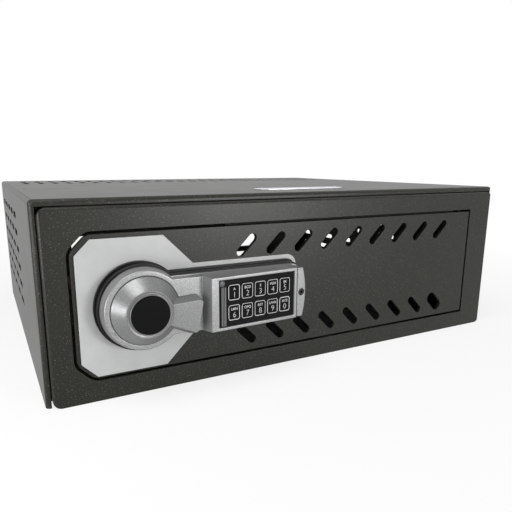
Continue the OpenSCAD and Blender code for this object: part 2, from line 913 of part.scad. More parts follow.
module lock_base() {
    wall_r = base_r - base_step - base_wall;
    body_half = base_half - base_step - base_wall;
    color("#1e1e1f") {
        difference() {
            union() {
                off_door(plate_t, plate_t + base_foot) base_outline(0);
                off_door(plate_t + base_foot, base_top) base_outline(base_step);
            }
            off_door(plate_t + base_foot, base_top + over) difference() {
                union() {
                    circle(wall_r);
                    round_rect(-base_end_r, base_end - base_step - base_wall,
                               -body_half, body_half, base_end_r - base_step - base_wall / 2);
                }
                circle(boss_r);
                screw_places() circle(housing_post_r);
            }
            off_door(plate_t - over, base_top + over) {
                circle(spindle_r + run_fit);
                translate([ribbon_x - lock_x, 0]) circle(ribbon_hole_r);
                screw_places() circle(housing_screw_r + seat);
            }
        }
    }
}
module block_prism(inset) {
    floor_p = inset > 0 ? base_top - over : base_top;
    intersection() {
        at_lock() translate([0, 0, -block_half * 2]) linear_extrude(block_half * 4)
            polygon([[foot_left + inset, -floor_p], [foot_left + inset, -arm_top],
                     [face_left + inset, -face_top + inset],
                     [face_right - inset, -face_right_top + inset],
                     [face_right - inset, -floor_p]]);
        at_lock() sideways(0, face_right + over)
            polygon([[-floor_p, -tier_half + inset],
                     [-face_top, -block_half + inset], [-face_top, block_half - inset],
                     [-floor_p, tier_half - inset]]);
        off_door(floor_p, face_top + over)
            round_rect(foot_left + inset - block_corner_r, face_right - inset,
                       -tier_half + inset, tier_half - inset, block_corner_r);
    }
}
module arm_prism() {
    half = block_half + block_draft / 4;
    at_lock() sideways(0, face_left)
        polygon([[-base_top, -tier_half], [-arm_top, -half], [-arm_top, half],
                 [-base_top, tier_half]]);
}
module lock_housing() {
    tray_half_w = tier_half - cast_t;
    color("#a9abac") difference() {
        union() {
            at_lock() lathe() polygon([[0, base_top], [ring_r, base_top],
                [ring_face_r + ring_edge, arm_top - ring_edge], [ring_face_r, arm_top],
                [0, arm_top]]);
            off_door(base_top, tier_top)
                round_rect(-tier_r, tier_end, -tier_half, tier_half, tier_r);
            arm_prism();
            block_prism(0);
            // Index pip on the ring
            off_door(arm_top - over, index_top) translate(index_place) circle(index_r);
        }
        // Bore for the knob, over a floor with room for the spindle's boss
        off_door(base_top + ring_floor, arm_top + over) circle(ring_bore_r);
        off_door(base_top - over, base_top + ring_floor + over) circle(boss_r + seat);
        // Hollow behind the keypad
        intersection() {
            block_prism(cast_t);
            off_door(base_top - over, face_top) translate([0, -tray_half_w])
                square([face_right - cast_t, 2 * tray_half_w]);
        }
        off_door(base_top - over, base_top + ring_floor)
            round_rect(ring_bore_r + cast_t, face_right - cast_t, -tray_half_w, tray_half_w,
                       block_corner_r);
        in_face(-over, panel_back + over)
            round_rect(panel_left, panel_left + panel_w, -panel_h / 2, panel_h / 2, panel_r);
        off_door(base_top, tier_top + over)
            translate([end_screw_u, 0]) circle(end_screw_shank_r - seat);
    }
    // Posts that the screws from behind the door bite into
    color("#a9abac") difference() {
        screw_posts();
        off_door(base_top - over, base_top + cam_screw_len - over)
            screw_places() circle(housing_screw_r);
    }
}
module screw_posts() {
    intersection() {
        off_door(base_top, face_top) screw_places() circle(housing_post_r);
        block_prism(0);
        difference() {
            off_door(base_top, face_top) square(4 * face_right, center = true);
            in_face(-face_top, board_front + board_t + seat)
                square(4 * face_right, center = true);
        }
    }
}
module housing_screws() {
    color("#8a8c8e") for (u = [housing_screw_left, housing_screw_right], side = [-1, 1]) at_lock() {
        rod_y(u, side * housing_screw_w, -base_top - cam_screw_len + over + seat, door_t,
              housing_screw_r - seat / 4);
        rod_y(u, side * housing_screw_w, door_t, door_t + housing_screw_head_h,
              housing_screw_head_r);
    }
}
module end_outline() {
    r_edge = ((end_mid - end_corner) * (end_mid - end_corner) + end_half * end_half)
             / (2 * (end_mid - end_corner));
    intersection() {
        round_rect(end_left, end_mid + block_corner_r, -end_half, end_half, square_corner_r);
        translate([end_mid - r_edge, 0]) circle(r_edge, $fn = 180);
    }
}
module end_cap() {
    color("#a9abac") difference() {
        off_door(tier_top, face_top) end_outline();
        in_face(-face_top, end_sink)
            translate([0, -end_half - over]) square([2 * face_right, 2 * (end_half + over)]);
        off_door(face_right_top - end_sink - end_screw_deep - end_gap, face_top + over)
            translate([end_screw_u, 0]) circle(end_screw_r + seat);
        off_door(tier_top - over, face_top)
            translate([end_screw_u, 0]) circle(end_screw_shank_r + seat);
    }
}
module end_screw() {
    head_low = face_right_top - end_sink - end_screw_deep - end_gap;
    color("#161616") difference() {
        at_lock() {
            rod_y(end_screw_u, 0, -head_low - end_screw_deep, -head_low, end_screw_r);
            rod_y(end_screw_u, 0, -head_low - seat, -base_top - seat, end_screw_shank_r - 1.5 * seat);
        }
        off_door(head_low + end_screw_deep / 2, face_top)
            translate([end_screw_u, 0]) circle(socket_r, $fn = 6);
    }
}

/* Keypad */
module key_place(i) {
    column = i % columns;
    row = floor(i / columns);
    translate([key_first + column * key_pitch_x, ((rows - 1) / 2 - row) * key_pitch_z])
        children();
}
module key_outline_shape(grow) {
    round_rect(-key_w / 2 - grow, key_w / 2 + grow, -key_h / 2 - grow, key_h / 2 + grow,
               key_r + min(grow, 0));
}
module keypad_panel() {
    color("#1b1b1c") in_face(panel_sink, panel_back) difference() {
        round_rect(panel_left + panel_fit, panel_left + panel_w - panel_fit,
                   -panel_h / 2 + panel_fit, panel_h / 2 - panel_fit, panel_r);
        for (i = [0:columns * rows - 1]) key_place(i) key_outline_shape(key_fit);
        round_rect(bar_left - seat, bar_left + bar_w + seat, bar_low - seat, bar_high + seat,
                   seat);
        translate([lens_u, lens_z]) circle(lens_r + seat / 2);
    }
}
module key(i) {
    color("#222223") {
        in_face(panel_sink - key_proud, panel_back + key_rest_gap)
            key_place(i) key_outline_shape(0);
        in_face(panel_back + key_rest_gap, key_back)
            key_place(i) key_outline_shape(key_flange);
    }
    // Raised light outline round the top of the key
    color("#c8c9c9") in_face(panel_sink - key_proud - key_outline_h, panel_sink - key_proud)
        key_place(i) difference() {
            key_outline_shape(0);
            key_outline_shape(-key_outline);
        }
}
module key_1() { key(0); }
module key_2() { key(1); }
module key_3() { key(2); }
module key_4() { key(3); }
module key_5() { key(4); }
module key_6() { key(5); }
module key_7() { key(6); }
module key_8() { key(7); }
module key_9() { key(8); }
module key_0() { key(9); }
module mat_outline(inset) {
    round_rect(panel_left - board_margin + inset, mat_right - inset,
               -panel_h / 2 + inset - seat, panel_h / 2 - inset + seat, panel_r);
}
module key_mat() {
    color("#5c5e60") {
        in_face(mat_front, board_front) mat_outline(0);
        in_face(panel_back + seat, mat_front) difference() {
            mat_outline(0);
            mat_outline(mat_rim);
        }
        in_face(dome_top, mat_front) for (i = [0:columns * rows - 1]) key_place(i) circle(dome_r);
        in_face(panel_back + seat, mat_front)
            round_rect(bar_left, bar_left + bar_w, bar_low, bar_high, seat);
    }
}
module keypad_board() {
    color("#2f6b3c") in_face(board_front, board_front + board_t) mat_outline(0);
}
module indicator_bar() {
    rib = (bar_w - (bar_ribs - 1) * rib_gap) / bar_ribs;
    color("#7c7e80") {
        in_face(panel_sink, panel_back)
            round_rect(bar_left, bar_left + bar_w, bar_low, bar_high, seat);
        in_face(bar_sink, panel_sink) for (i = [0:bar_ribs - 1])
            translate([bar_left + i * (rib + rib_gap), bar_low])
                square([rib, bar_high - bar_low]);
    }
}
module indicator_lens() {
    color("#8f9193") on_face() translate([lens_u, lens_sink, lens_z])
        rotate([90, 0, 0]) {
            translate([0, 0, lens_sink - panel_back])
                cylinder(h = panel_back - lens_sink, r = lens_r);
            rotate_extrude() intersection() {
                translate([0, lens_proud - lens_r * 2]) circle(lens_r * 2);
                square([lens_r, lens_proud]);
            }
        }
}

/* Knob, turning on the spindle */
module lever_outline(half, root_half, reach) {
    polygon(rounded([[lever_root, -root_half], [reach, -half], [reach, half],
                     [lever_root, root_half]],
                    [lever_skin, lever_r, lever_r, lever_skin]));
}
module knob() {
    low = knob_skirt;
    hollow_r = knob_r - knob_wall;
    color("#a9abac") difference() {
        union() {
            at_lock() lathe() polygon([[0, low], [knob_r, low], [knob_r, arm_top + lever_skin],
                [collar_r + collar_flare, collar_foot], [collar_r, collar_edge],
                [cap_r + dish_w, dish_low], [cap_r + cap_rim + seat, dish_low],
                [cap_r + cap_rim, rim_top], [0, rim_top]]);
            hull() {
                off_door(arm_top + lever_clear, arm_top + lever_clear + lever_skin)
                    rotate(-lever_rest) lever_outline(lever_half + lever_spread,
                        lever_root_half + lever_spread, lever_len - lever_spread / 2);
                off_door(lever_top - lever_skin, lever_top)
                    rotate(-lever_rest) lever_outline(lever_half, lever_root_half, lever_len);
            }
        }
        off_door(knob_top - cap_t, knob_top + over) circle(cap_r + seat / 2);
        at_lock() lathe() polygon([[hub_r, low - over], [hollow_r, low - over],
            [hollow_r, arm_top - knob_wall / 2], [collar_r - knob_wall, collar_foot - knob_wall],
            [hub_r, collar_foot - knob_wall]]);
        at_lock() rod_y(0, 0, -collar_foot + knob_wall, -low + over, spindle_r + hub_fit);
    }
}
module knob_cap() {
    low = knob_top - cap_t;
    color("#1a1a1b") at_lock() lathe() polygon([[0, low], [cap_r, low],
        [cap_r, knob_top - cap_rise], [cap_r - cap_rise, knob_top], [0, knob_top]]);
}
module spindle() {
    color("#b9bbbd") difference() {
        at_lock() rod_y(0, 0, -collar_foot + knob_wall, cam_back - front_y, spindle_r);
        at_lock() rod_y(0, 0, cam_back - front_y - cam_screw_len, cam_back - front_y + over,
                        cam_screw_shank_r + seat / 2);
    }
}
module drive_cam() {
    y0 = cam_front - front_y;
    y1 = cam_back - front_y;
    pin_u = pin_x - lock_x;
    color("#c2a25a") at_lock() {
        difference() {
            rod_y(0, 0, y0, y1, cam_r);
            rod_y(0, 0, y0 - over, y1 + over, cam_square_r + hub_fit);
            // Notches for the blocking pin, at the top and at the left
            for (turn = [0, knob_turn]) rotate([0, -turn, 0])
                box(-notch_w / 2, notch_w / 2, y0 - over, y1 + over,
                    cam_r - notch_deep, cam_r + over);
        }
        rod_y(pin_u, -pin_u / tan(knob_turn / 2), y1, bar_back - front_y + over, crank_pin_r);
    }
}
module cam_screw() {
    y1 = cam_back - front_y;
    color("#8a8c8e") at_lock() {
        rod_y(0, 0, y1, y1 + cam_screw_h, cam_screw_r + cam_screw_shank_r);
        rod_y(0, 0, y1 - cam_screw_len + over, y1, cam_screw_shank_r);
    }
}

/* Bolt work behind the door */
module bolt_bar() {
    arm_z = bolt_rise + arm_over;
    color("#9b9da0") difference() {
        facing(bar_front, bar_t) difference() {
            union() {
                translate([bolt_end, bar_z0]) square([bar_right - bolt_end, bar_z1 - bar_z0]);
                translate([bolt_end, lock_z - arm_z]) square([arm_w, 2 * arm_z]);
            }
            translate([pin_x - crank_pin_r - crank_play, fork_floor])
                square([2 * (crank_pin_r + crank_play), bar_z1]);
            translate([stud_x + bolt_travel / 2, stud_z])
                slot(bolt_travel + 2 * stud_play, 2 * (stud_r + stud_play), 0);
        }
    }
}
module deadbolts() {
    color("#c3c5c7") for (side = [-1, 1])
        translate([bolt_tip, bar_y, lock_z + side * bolt_rise]) rotate([0, 90, 0])
            rotate_extrude() polygon([[0, 0], [bolt_r - square_corner_r, 0],
                [bolt_r, square_corner_r], [bolt_r, bolt_len], [0, bolt_len]]);
}
module bolt_guides() {
    color("#7f8184") for (side = [-1, 1]) difference() {
        box(guide_x0, guide_x0 + guide_w, door_back, bar_y + guide_half,
            lock_z + side * bolt_rise - guide_half, lock_z + side * bolt_rise + guide_half);
        translate([guide_x0 - over, bar_y, lock_z + side * bolt_rise]) rotate([0, 90, 0])
            cylinder(h = guide_w + 2 * over, r = bolt_r + run_fit);
    }
}
module bar_stud() {
    color("#b9bbbd") {
        rod_y(stud_x, stud_z, door_back, bar_front - seat, stud_foot_r);
        rod_y(stud_x, stud_z, bar_front - seat, bar_back + seat, stud_r);
        rod_y(stud_x, stud_z, bar_back + seat, bar_back + seat + stud_head_h, stud_head_r);
    }
}
module case_screw_places() {
    for (x = [case_x0 + case_lip, case_x1 - case_lip], side = [0, 1])
        translate([x, side == 1 ? case_z1 - case_lip / 2 + case_lip : case_z0 + case_lip / 2
                   - case_lip]) children();
}
module lock_case() {
    color("#5b5d5f") difference() {
        union() {
            box(case_x0, case_x1, door_back, case_back, case_z0, case_z1);
            facing(door_back, case_t) round_rect(case_x0, case_x1, case_z0 - case_lip,
                case_z1 + case_lip, square_corner_r);
        }
        box(case_x0 + case_t, case_x1 - case_t, door_back - over, case_back - case_t,
            case_z0 + case_t, case_z1 - case_t);
        for (side = [-1, 1])
            translate([case_x0 - over, bar_y, lock_z + side * bolt_rise]) rotate([0, 90, 0])
                cylinder(h = case_t + 2 * over, r = bolt_r + case_bolt_play);
        facing(door_back - over, case_t + 2 * over) case_screw_places() circle(case_screw_r);
    }
}
module case_screws() {
    color("#8a8c8e") for (x = [case_x0 + case_lip, case_x1 - case_lip], side = [0, 1]) {
        z = side == 1 ? case_z1 + case_lip / 2 : case_z0 - case_lip / 2;
        rod_y(x, z, door_back, door_back + case_t, case_screw_r - seat / 4);
        rod_y(x, z, door_back + case_t, door_back + case_t + case_screw_head_h,
              case_screw_head_r - seat);
    }
}
module solenoid() {
    color("#54565a") difference() {
        box(lock_x - coil_w / 2, lock_x + coil_w / 2, coil_y - coil_d / 2, coil_y + coil_d / 2,
            coil_z0, coil_z0 + coil_h);
        translate([lock_x, coil_y, coil_z0 - over])
            cylinder(h = coil_h - coil_roof + over, r = plunger_r + run_fit);
    }
}
module plunger() {
    color("#c3c5c7") translate([lock_x, coil_y, plunger_z0])
        cylinder(h = plunger_len, r = plunger_r);
}
module plunger_spring() {
    z0 = plunger_z0 + plunger_len;
    z1 = coil_z0 + coil_h - coil_roof;
    color("#b9bbbd") translate([lock_x, coil_y, z0])
        linear_extrude(z1 - z0, twist = -360 * spring_turns, slices = spring_steps)
            translate([spring_r - spring_wire_r, 0]) circle(spring_wire_r, $fn = wire_sides);
}
module control_board() {
    y0 = door_back + control_stand;
    x_mid = control_x1 - control_w / 2;
    color("#2f6b3c") {
        box(control_x1 - control_w, control_x1, y0, y0 + board_t, control_z1 - control_h,
            control_z1);
        box(x_mid - chip_w / 2, x_mid + chip_w / 2, y0 + board_t, y0 + board_t + chip_t,
            control_z1 - control_h / 2 - chip_h / 2, control_z1 - control_h / 2 + chip_h / 2);
        for (side = [-1, 1])
            rod_y(x_mid + side * (control_w / 2 - stud_r), control_z1 - control_h + stud_r,
                  door_back, y0, stud_r);
    }
}
// Flat ribbon: back from the keypad's board, through the door, then down to the control board
module keypad_cable() {
    y_turn = door_back + control_stand - ribbon_t - seat;
    z_end = control_z1 - ribbon_lap;
    r_in = ribbon_bend;
    r_out = ribbon_bend + ribbon_t;
    u_right = ribbon_x + ribbon_w / 2 - lock_x - face_left;
    face_p = face_top - u_right * tan(face_tilt);
    y_board = front_y - face_p + (board_front + board_t + seat) / cos(face_tilt);
    color("#b8b4a8") sideways(ribbon_x - ribbon_w / 2, ribbon_w) {
        translate([y_board, lock_z - ribbon_t / 2])
            square([y_turn + ribbon_t - r_out - y_board, ribbon_t]);
        translate([y_turn + ribbon_t - r_out, lock_z + ribbon_t / 2 - r_out])
            intersection() {
                difference() {
                    circle(r_out);
                    circle(r_in);
                }
                square(r_out);
            }
        translate([y_turn, z_end])
            square([ribbon_t, lock_z + ribbon_t / 2 - r_out - z_end]);
    }
}
module battery_tray() {
    color("#2a2a2b") difference() {
        box(tray_x0, tray_x0 + tray_w, door_back, door_back + tray_depth,
            lock_z - tray_half, lock_z + tray_half);
        box(tray_x0 + tray_t, tray_x0 + tray_w - tray_t, door_back + tray_t,
            door_back + tray_depth + over, lock_z - tray_half + tray_t,
            lock_z + tray_half - tray_t);
    }
}
module battery() {
    x0 = tray_x0 + (tray_w - battery_w) / 2;
    y0 = door_back + tray_t + seat;
    color("#6d7074") box(x0, x0 + battery_w, y0, y0 + battery_t, lock_z - battery_h / 2,
                         lock_z + battery_h / 2);
}
module battery_door() {
    y0 = door_back + tray_depth;
    color("#2f2f30") facing(y0, battery_lid_t)
        round_rect(tray_x0, tray_x0 + tray_w, lock_z - tray_half, lock_z + tray_half,
                   square_corner_r);
}

outer_shell();
floor_pan();
back_panel();
front_frame();
keeper_bar();
door_stops();
stop_bumpers();
frame_hinge_lugs();
hinge_pins();
cable_window_trims();
badge_plate();
badge_rivets();
door_panel();
door_stiffener();
door_hinge_ears();
lock_plate();
lock_base();
lock_housing();
housing_screws();
end_cap();
end_screw();
keypad_panel();
key_mat();
keypad_board();
indicator_bar();
indicator_lens();
keypad_cable();
lock_case();
case_screws();
bolt_guides();
bar_stud();
solenoid();
control_board();
battery_tray();
battery();
battery_door();
knob();
knob_cap();
spindle();
drive_cam();
cam_screw();
bolt_bar();
deadbolts();
plunger();
plunger_spring();
key_1();
key_2();
key_3();
key_4();
key_5();
key_6();
key_7();
key_8();
key_9();
key_0();
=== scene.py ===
"""Looks of a low steel cabinet that locks a video recorder away.

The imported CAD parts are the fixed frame. Each class below dresses one sub-assembly: it rounds
the edges of copies of the CAD parts, adds the printed numerals, and gives every surface its
finish. Sizes in the classes are millimetres, in the CAD's own frame.
"""

import json
import logging
import math
from dataclasses import dataclass
from enum import Enum, IntEnum
from typing import Any, Iterable, Union

import bmesh
import bpy
from mathutils import Matrix, Vector

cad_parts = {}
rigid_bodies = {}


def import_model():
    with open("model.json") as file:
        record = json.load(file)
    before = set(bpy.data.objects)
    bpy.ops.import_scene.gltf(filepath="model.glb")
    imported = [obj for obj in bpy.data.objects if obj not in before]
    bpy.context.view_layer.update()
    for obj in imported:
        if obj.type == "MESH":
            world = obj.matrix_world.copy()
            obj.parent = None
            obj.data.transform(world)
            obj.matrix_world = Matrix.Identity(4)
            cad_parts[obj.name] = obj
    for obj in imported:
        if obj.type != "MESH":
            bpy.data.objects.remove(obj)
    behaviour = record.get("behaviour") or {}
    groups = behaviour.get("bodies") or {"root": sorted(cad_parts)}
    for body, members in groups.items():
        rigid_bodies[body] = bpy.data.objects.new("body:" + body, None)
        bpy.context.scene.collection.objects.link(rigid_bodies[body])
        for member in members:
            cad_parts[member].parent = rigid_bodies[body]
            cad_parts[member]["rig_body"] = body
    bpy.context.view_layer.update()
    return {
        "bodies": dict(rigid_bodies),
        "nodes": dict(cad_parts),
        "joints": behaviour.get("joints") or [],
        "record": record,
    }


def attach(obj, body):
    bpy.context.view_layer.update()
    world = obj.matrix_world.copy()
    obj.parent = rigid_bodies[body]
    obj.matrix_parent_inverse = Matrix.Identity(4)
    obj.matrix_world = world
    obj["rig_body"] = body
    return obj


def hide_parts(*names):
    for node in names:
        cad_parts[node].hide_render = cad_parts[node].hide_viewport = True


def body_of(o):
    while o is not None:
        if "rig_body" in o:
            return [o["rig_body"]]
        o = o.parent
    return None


MM = 0.001
LOG = logging.getLogger("cabinet")
Value = Union[float, int, tuple, bpy.types.NodeSocket]

# The sRGB curve: a straight start up to its toe, and a power above it.
SRGB_TOE = 0.04045
SRGB_SLOPE = 12.92
SRGB_OFFSET = 0.055
SRGB_POWER = 2.4


def linear(code: str) -> tuple[float, float, float, float]:
    """Turns an sRGB hex colour into linear values.

    Args:
        code: Six hex digits after a hash sign.

    Returns:
        Red, green and blue as linear values, with an alpha of 1.
    """
    parts = [int(code[i : i + 2], 16) / 255 for i in (1, 3, 5)]
    made = [
        c / SRGB_SLOPE if c <= SRGB_TOE else ((c + SRGB_OFFSET) / (1 + SRGB_OFFSET)) ** SRGB_POWER
        for c in parts
    ]
    return (made[0], made[1], made[2], 1.0)


def add(
    tree: bpy.types.NodeTree, kind: str, sockets: dict[Union[str, int], Value], **settings: Any
) -> bpy.types.Node:
    """Adds a node to a tree, with its settings and its inputs.

    Args:
        tree: The node tree that gets the node.
        kind: The node's type name.
        sockets: Each input's value, or the output that feeds it.
        settings: Properties of the node itself.

    Returns:
        The new node.
    """
    node = tree.nodes.new(kind)
    for name, value in settings.items():
        setattr(node, name, value)
    for name, value in sockets.items():
        if isinstance(value, bpy.types.NodeSocket):
            tree.links.new(value, node.inputs[name])
        else:
            node.inputs[name].default_value = value
    return node


def per_metre(size_mm: float) -> float:
    """Texture scale at which one feature of a pattern is this many millimetres wide."""
    return 1.0 / (size_mm * MM)


class MixSocket(IntEnum):
    """Numbers of a colour mix's sockets, because the node's other kinds share their names."""

    SHARE = 0
    RESULT = 2
    FIRST = 6
    SECOND = 7


class Faces(Enum):
    """What a copied part's flat faces are made of while its edges are rounded."""

    JOINED = "one face each"
    TRIANGLES = "the CAD triangles, which keep a window in a face open"


class Overlap(Enum):
    """What a rounding does where small shapes lie close together."""

    FULL = "it keeps its width"
    NARROWED = "it gets narrower"


@dataclass(frozen=True)
class Finish:
    """A surface made of one shader and the detail that its maker's process leaves.

    Its mottle is a slow change of tone and gloss, in patches mottle_mm wide.
    """

    name: str
    colour: str
    roughness: float = 0.5
    metallic: float = 0.0
    ior: float = 1.5
    mottle_mm: float = 14.0
    mottle_share: float = 0.12
    gloss_swing: float = 0.03

    def build(self) -> bpy.types.Material:
        """Makes the material, or returns the one made before."""
        known = bpy.data.materials.get(self.name)
        if known:
            return known
        material = bpy.data.materials.new(self.name)
        material.use_nodes = True
        tree = material.node_tree
        tree.nodes.clear()
        shader = add(
            tree,
            "ShaderNodeBsdfPrincipled",
            {
                "Base Color": linear(self.colour),
                "Roughness": self.roughness,
                "Metallic": self.metallic,
                "IOR": self.ior,
            },
        )
        add(tree, "ShaderNodeOutputMaterial", {"Surface": shader.outputs[0]})
        place = add(tree, "ShaderNodeTexCoord", {}).outputs["Object"]
        self.detail(tree, shader, place)
        material.diffuse_color = linear(self.colour)
        return material

    def detail(
        self,
        tree: bpy.types.NodeTree,
        shader: bpy.types.Node,
        place: bpy.types.NodeSocket,
    ) -> None:
        """Adds a faint mottle, so that no surface is one flat colour."""
        self.mottle(tree, shader, place)

    def shades(self, share: float) -> tuple[tuple[float, ...], tuple[float, ...]]:
        """Darkens and lightens the finish's colour.

        Args:
            share: How far each shade is from the colour, as a share of it.

        Returns:
            The darker and the lighter shade, as linear values.
        """
        base = linear(self.colour)[:3]
        dark = tuple(c * (1 - share) for c in base) + (1.0,)
        light = tuple(min(1.0, c * (1 + share)) for c in base) + (1.0,)
        return dark, light

    def mottle(
        self,
        tree: bpy.types.NodeTree,
        shader: bpy.types.Node,
        place: bpy.types.NodeSocket,
    ) -> bpy.types.Node:
        """Varies the colour and roughness softly over the surface.

        Args:
            tree: The material's tree.
            shader: Its shader.
            place: The coordinates that the pattern reads.

        Returns:
            The node whose output feeds the base colour.
        """
        noise = add(
            tree,
            "ShaderNodeTexNoise",
            {
                "Vector": place,
                "Scale": per_metre(self.mottle_mm),
                "Detail": 3.0,
                "Roughness": 0.55,
            },
        )
        dark, light = self.shades(self.mottle_share)
        colour = add(
            tree,
            "ShaderNodeMix",
            {
                MixSocket.SHARE: noise.outputs["Fac"],
                MixSocket.FIRST: dark,
                MixSocket.SECOND: light,
            },
            data_type="RGBA",
        )
        rough = add(
            tree,
            "ShaderNodeMapRange",
            {
                "Value": noise.outputs["Fac"],
                "To Min": self.roughness - self.gloss_swing,
                "To Max": self.roughness + self.gloss_swing,
            },
        )
        tree.links.new(colour.outputs[MixSocket.RESULT], shader.inputs["Base Color"])
        tree.links.new(rough.outputs[0], shader.inputs["Roughness"])
        return colour

    def relief(
        self,
        tree: bpy.types.NodeTree,
        shader: bpy.types.Node,
        place: bpy.types.NodeSocket,
        size_mm: float,
        depth_mm: float,
        strength: float,
    ) -> bpy.types.Node:
        """Adds a fine bump.

        Args:
            tree: The material's tree.
            shader: Its shader.
            place: The coordinates that the pattern reads.
            size_mm: Width of one bump.
            depth_mm: Height of one bump.
            strength: Share of the bump's full effect.

        Returns:
            The noise node that drives the bump.
        """
        noise = add(
            tree,
            "ShaderNodeTexNoise",
            {"Vector": place, "Scale": per_metre(size_mm), "Detail": 2.0, "Roughness": 0.5},
        )
        bump = add(
            tree,
            "ShaderNodeBump",
            {
                "Height": noise.outputs["Fac"],
                "Strength": strength,
                "Distance": depth_mm * MM,
            },
        )
        tree.links.new(bump.outputs[0], shader.inputs["Normal"])
        return noise


@dataclass(frozen=True)
class PowderCoat(Finish):
    """Baked polyester powder on sheet steel: an orange peel and pale metallic flecks.

    The flecks are really about 0.1 mm; they are drawn 0.9 mm wide, the finest that shows. One
    shows where its noise passes fleck_from, and is at its palest, fleck_share, at fleck_to.
    """

    mottle_mm: float = 45.0
    mottle_share: float = 0.08
    peel_mm: float = 1.5
    peel_depth_mm: float = 0.05
    peel_strength: float = 0.35
    fleck: str = "#6c6a60"
    fleck_mm: float = 0.9
    fleck_from: float = 0.64
    fleck_to: float = 0.76
    fleck_share: float = 0.7

    def detail(
        self,
        tree: bpy.types.NodeTree,
        shader: bpy.types.Node,
        place: bpy.types.NodeSocket,
    ) -> None:
        """Adds the peel, the flecks and a slow change of tone."""
        colour = self.mottle(tree, shader, place)
        self.relief(tree, shader, place, self.peel_mm, self.peel_depth_mm, self.peel_strength)
        fleck = add(
            tree,
            "ShaderNodeTexNoise",
            {
                "Vector": place,
                "Scale": per_metre(self.fleck_mm),
                "Detail": 1.0,
                "Roughness": 0.4,
            },
        )
        picked = add(
            tree,
            "ShaderNodeMapRange",
            {
                "Value": fleck.outputs["Fac"],
                "From Min": self.fleck_from,
                "From Max": self.fleck_to,
                "To Max": self.fleck_share,
            },
        )
        mixed = add(
            tree,
            "ShaderNodeMix",
            {
                MixSocket.SHARE: picked.outputs[0],
                MixSocket.FIRST: colour.outputs[MixSocket.RESULT],
                MixSocket.SECOND: linear(self.fleck),
            },
            data_type="RGBA",
        )
        tree.links.new(mixed.outputs[MixSocket.RESULT], shader.inputs["Base Color"])


@dataclass(frozen=True)
class CastPaint(Finish):
    """Silver lacquer with aluminium flake over a zinc die casting: a fine grey grain.

    Real flake is far below 0.1 mm; it is drawn 0.7 mm wide, the finest that shows. Its noise is
    spread between grain_from and grain_to, from the darkest grain to the lightest.
    """

    flake_mm: float = 0.7
    flake_depth_mm: float = 0.02
    flake_strength: float = 0.3
    contrast: float = 0.24
    grain_from: float = 0.3
    grain_to: float = 0.7

    def detail(
        self,
        tree: bpy.types.NodeTree,
        shader: bpy.types.Node,
        place: bpy.types.NodeSocket,
    ) -> None:
        """Adds the flake as light and dark grains, and its slight roughness."""
        noise = self.relief(
            tree, shader, place, self.flake_mm, self.flake_depth_mm, self.flake_strength
        )
        spread = add(
            tree,
            "ShaderNodeMapRange",
            {
                "Value": noise.outputs["Fac"],
                "From Min": self.grain_from,
                "From Max": self.grain_to,
            },
        )
        dark, light = self.shades(self.contrast)
        grain = add(
            tree,
            "ShaderNodeMix",
            {
                MixSocket.SHARE: spread.outputs[0],
                MixSocket.FIRST: dark,
                MixSocket.SECOND: light,
            },
            data_type="RGBA",
        )
        tree.links.new(grain.outputs[MixSocket.RESULT], shader.inputs["Base Color"])


@dataclass(frozen=True)
class MouldedPlastic(Finish):
    """Injection-moulded plastic: the fine texture that a spark-eroded tool leaves.

    A real texture is about 0.1 mm; it is drawn 0.6 mm wide or more, the finest that shows.
    """

    mottle_mm: float = 9.0
    mottle_share: float = 0.1
    texture_mm: float = 0.6
    texture_depth_mm: float = 0.02
    texture_strength: float = 0.3

    def detail(
        self,
        tree: bpy.types.NodeTree,
        shader: bpy.types.Node,
        place: bpy.types.NodeSocket,
    ) -> None:
        """Adds the tool's texture and a faint mottle."""
        self.mottle(tree, shader, place)
        self.relief(
            tree, shader, place, self.texture_mm, self.texture_depth_mm, self.texture_strength
        )


@dataclass(frozen=True)
class WorkedMetal(Finish):
    """Bare or plated metal: fine scratches drawn out along one direction.

    Real scratches are a few hundredths of a millimetre; these are 0.4 mm wide, so that they show.
    """

    mottle_mm: float = 2.4
    mottle_share: float = 0.08
    stretch: tuple[float, float, float] = (0.04, 1.0, 1.0)
    line_mm: float = 0.4
    line_depth_mm: float = 0.01
    line_strength: float = 0.25

    def detail(
        self,
        tree: bpy.types.NodeTree,
        shader: bpy.types.Node,
        place: bpy.types.NodeSocket,
    ) -> None:
        """Adds lines along the working direction to colour, roughness and relief."""
        mapping = add(tree, "ShaderNodeMapping", {"Vector": place, "Scale": self.stretch})
        drawn = mapping.outputs[0]
        self.mottle(tree, shader, drawn)
        self.relief(tree, shader, drawn, self.line_mm, self.line_depth_mm, self.line_strength)


